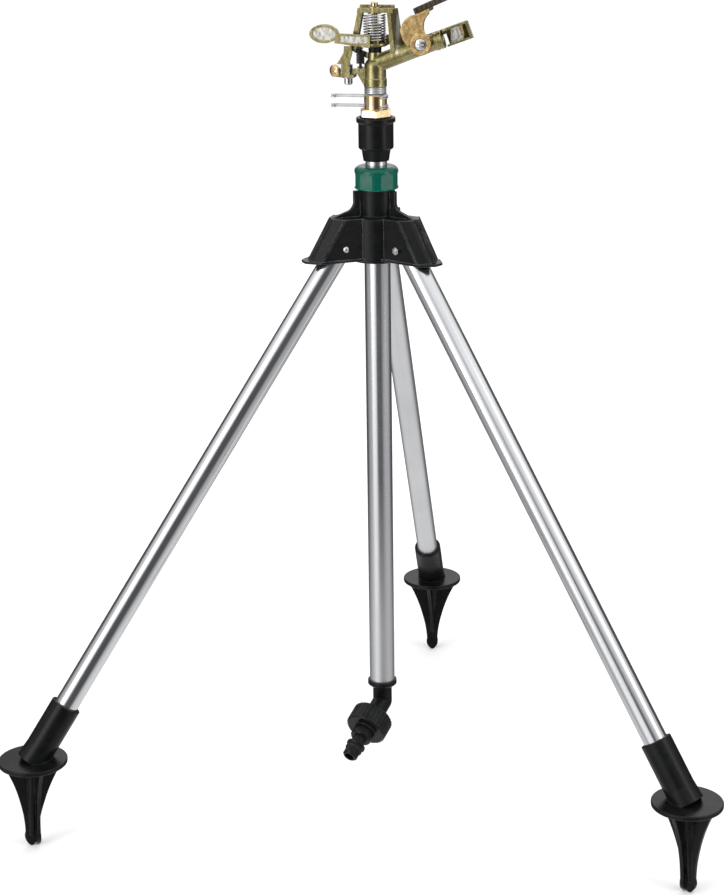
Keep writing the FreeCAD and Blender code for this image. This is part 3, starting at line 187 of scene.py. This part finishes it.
# The edge gain in each finish lightens its edges: partly rubbed wear, partly painted highlight.
FINISHES = {
    "black_plastic": dict(
        colour=(0.0040, 0.0043, 0.0045), patch_colour=(0.0062, 0.0065, 0.0068),
        rough=(0.22, 0.34), grain=1500.0, bump=0.00003, edge_wear_highlight_gain=12.0, edge_patchiness=0.8, specular=0.15,
        edge_radius=0.0008),
    "green_plastic": dict(
        colour=(0.0, 0.085, 0.054), patch_colour=(0.0, 0.070, 0.045), rough=(0.12, 0.2),
        grain=900.0, bump=0.00001, edge_wear_highlight_gain=4.0, coat=0.05, specular=0.25),
    "rubber": dict(
        colour=(0.008, 0.008, 0.009), patch_colour=(0.016, 0.015, 0.015), rough=(0.5, 0.7),
        grain=2600.0, bump=0.00005, edge_wear_highlight_gain=1.5, specular=0.3),
    "brass": dict(
        colour=(0.66, 0.52, 0.31), patch_colour=(0.50, 0.35, 0.18), rough=(0.12, 0.22),
        metallic=1.0, grain=3000.0, bump=0.00001, edge_wear_highlight_gain=1.25),
    "chromated_zinc": dict(
        colour=(0.34, 0.30, 0.145), patch_colour=(0.22, 0.19, 0.08), rough=(0.18, 0.32),
        metallic=0.9, patch=70.0, grain=1800.0, bump=0.00004, edge_wear_highlight_gain=1.8, edge_patchiness=0.5,
        edge_radius=0.0005, dips=(260.0, 0.00035)),
    "bronze": dict(
        colour=(0.60, 0.43, 0.20), patch_colour=(0.36, 0.23, 0.09), rough=(0.2, 0.34),
        metallic=1.0, patch=220.0, grain=1300.0, bump=0.00007, edge_wear_highlight_gain=1.6,
        dips=(160.0, 0.0004)),
    "dark_plate": dict(
        colour=(0.075, 0.058, 0.040), patch_colour=(0.04, 0.032, 0.024), rough=(0.34, 0.5),
        metallic=0.75, patch=300.0, grain=2200.0, bump=0.00006, edge_wear_highlight_gain=3.0),
    "steel": dict(
        colour=(0.62, 0.61, 0.62), patch_colour=(0.42, 0.42, 0.44), rough=(0.16, 0.3),
        metallic=1.0, patch=200.0, grain=3000.0, bump=0.00001, edge_wear_highlight_gain=1.2),
    "black_steel": dict(
        colour=(0.026, 0.025, 0.026), patch_colour=(0.014, 0.014, 0.015), rough=(0.2, 0.34),
        metallic=0.6, patch=260.0, grain=2600.0, bump=0.00003, edge_wear_highlight_gain=3.0),
    "grey_plastic": dict(
        colour=(0.30, 0.30, 0.29), patch_colour=(0.22, 0.22, 0.21), rough=(0.4, 0.55),
        grain=2000.0, bump=0.00003, edge_wear_highlight_gain=1.3),
}


def slot_members():
    """Which material slot each node takes, from the record."""
    return {part["node"]: part["material_slot"] for part in frame["record"]["subparts"]}


def dress(node, material):
    """Give every slot of a CAD node one material."""
    slots = nodes[node].data.materials
    for index in range(len(slots)):
        slots[index] = material
    if not slots:
        slots.append(material)


def leg_axis(side):
    """Direction of a leg tube, from its middle up to its pivot."""
    low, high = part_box(f"leg_tube_{side}")
    middle = (Vector(low) + Vector(high)) / 2
    return (Vector(joints[f"leg_fold_{side}"]["pos_m"]) - middle).normalized()


def dress_all():
    """Give each node the finish of its slot; castings, hub and legs have their own."""
    made = {slot: surface(slot, **finish) for slot, finish in FINISHES.items()}
    zinc = FINISHES["chromated_zinc"]
    hub = {**FINISHES["black_plastic"], "edge_wear_highlight_gain": HUB_EDGE_HIGHLIGHT_GAIN}
    own = {
        "impact_arm": surface("arm_casting", painted_light_boxes=ARM_PAINTED_LIGHT, **zinc),
        "sprinkler_body": surface("body_casting", painted_light_boxes=BODY_PAINTED_LIGHT, **zinc),
        "tripod_hub": surface("hub_plastic", **hub),
    }
    made["aluminium_mast"] = tube_finish("aluminium_mast", Vector((0, 0, 1)), MAST_ROUGH,
                                         MAST_MATT_BELOW)
    for node, slot in slot_members().items():
        if slot == "aluminium_leg":
            side = node.rsplit("_", 1)[1]
            rough = REAR_LEG_ROUGH if side == "rear" else FRONT_LEG_ROUGH
            dress(node, tube_finish(f"aluminium_leg_{side}", leg_axis(side), rough))
        else:
            dress(node, own.get(node, made[slot]))


# ---------------------------------------------------------------- studio

EYE = (-0.00086, -1.75719, 0.86531)
PITCH = 17.28
YAW = -0.44
ROLL = -0.81
SENSOR_WIDTH = 36.0
FOCAL_LENGTH = 85.64


def camera():
    """A camera at EYE that looks down by PITCH, to the left by YAW and leans by ROLL degrees."""
    pitch, yaw, roll = math.radians(PITCH), math.radians(YAW), math.radians(ROLL)
    forward = Vector((math.sin(yaw) * math.cos(pitch), math.cos(yaw) * math.cos(pitch),
                      -math.sin(pitch)))
    right = Vector((math.cos(yaw), -math.sin(yaw), 0))
    up = right.cross(forward)
    across = math.cos(roll) * right + math.sin(roll) * up
    upward = -math.sin(roll) * right + math.cos(roll) * up
    data = bpy.data.cameras.new("camera")
    data.sensor_width = SENSOR_WIDTH
    data.lens = FOCAL_LENGTH
    data.clip_end = 60.0
    view = bpy.data.objects.new("camera", data)
    turn = Matrix((across, upward, -forward)).transposed().to_4x4()
    view.matrix_world = Matrix.Translation(Vector(EYE)) @ turn
    bpy.context.scene.collection.objects.link(view)
    bpy.context.scene.camera = view


# Name, place, width, height in metres and power in watts.
SOFTBOXES = (
    ("key", (-1.5, -1.25, 0.85), 0.9, 1.7, 13),
    ("fill", (1.6, -1.05, 0.85), 0.7, 1.7, 9),
    ("rim", (0.4, 2.4, 1.3), 2.4, 1.6, 10),
)
LIT_POINT = (0, 0, 0.4)


def softbox(name, spot, width, height, power):
    """A rectangular lamp that faces the middle of the stand."""
    light = bpy.data.lights.new(name, "AREA")
    light.shape = "RECTANGLE"
    light.size, light.size_y, light.energy = width, height, power
    lamp = bpy.data.objects.new(name, light)
    lamp.location = spot
    lamp.rotation_mode = "QUATERNION"
    lamp.rotation_quaternion = (Vector(LIT_POINT) - Vector(spot)).to_track_quat("-Z", "Y")
    bpy.context.scene.collection.objects.link(lamp)


# Grey of the room at eye level, by degrees round from the camera towards the right.
WALLS = ((-180, 0.07), (-118, 0.08), (-104, 0.38), (-68, 0.45), (-58, 1.0), (-24, 1.0),
         (-15, 0.09), (26, 0.09), (42, 0.42), (96, 0.45), (116, 0.08), (180, 0.07))
GROUND = 0.78
CEILING = (1.0, 1.0, 1.01)
ROOM_STRENGTH = 1.28


def studio():
    """A room of grey walls and a white ceiling, which the metal reflects, and three lamps."""
    world = bpy.data.worlds.new("studio")
    bpy.context.scene.world = world
    world.use_nodes = True
    tree = world.node_tree
    tree.nodes.clear()
    direction = add(tree, "ShaderNodeTexCoord").outputs["Generated"]
    parts = add(tree, "ShaderNodeSeparateXYZ", {0: direction}).outputs
    toward = maths(tree, "MULTIPLY", parts["Y"], -1.0)
    turn = maths(tree, "ARCTAN2", parts["X"], toward)
    walls = add(tree, "ShaderNodeValToRGB", {0: remap(tree, turn, -math.pi, math.pi)})
    steps = walls.color_ramp.elements
    for angle, grey in WALLS[1:-1]:
        steps.new(angle / 360 + 0.5)
    for step, (angle, grey) in zip(steps, WALLS):
        step.position = angle / 360 + 0.5
        step.color = (grey, grey, grey * 1.01, 1.0)
    room = blend_colour(tree, remap(tree, parts["Z"], -0.42, -0.66), walls.outputs[0],
                        rgba((GROUND, GROUND, GROUND)))
    room = blend_colour(tree, remap(tree, parts["Z"], 0.28, 0.55), room,
                        rgba(CEILING))
    background = add(tree, "ShaderNodeBackground", {"Color": room, "Strength": ROOM_STRENGTH})
    add(tree, "ShaderNodeOutputWorld", {"Surface": background.outputs[0]})
    for box in SOFTBOXES:
        softbox(*box)


FLOOR_HALF = 30
PAPER = (0.93, 0.93, 0.93, 1)


def floor():
    """White paper to the horizon, kept out of the metal's reflections."""
    mesh = bpy.data.meshes.new("floor")
    grid = bmesh.new()
    bmesh.ops.create_grid(grid, x_segments=8, y_segments=8, size=FLOOR_HALF)
    grid.to_mesh(mesh)
    grid.free()
    plane = bpy.data.objects.new("floor", mesh)
    bpy.context.scene.collection.objects.link(plane)
    material = bpy.data.materials.new("paper")
    material.use_nodes = True
    shader = material.node_tree.nodes["Principled BSDF"]
    shader.inputs["Base Color"].default_value = PAPER
    shader.inputs["Roughness"].default_value = 0.9
    shader.inputs["Specular IOR Level"].default_value = 0.1
    mesh.materials.append(material)
    plane.visible_glossy = False


dress_all()
camera()
studio()
floor()
bpy.context.scene.view_settings.view_transform = "Standard"
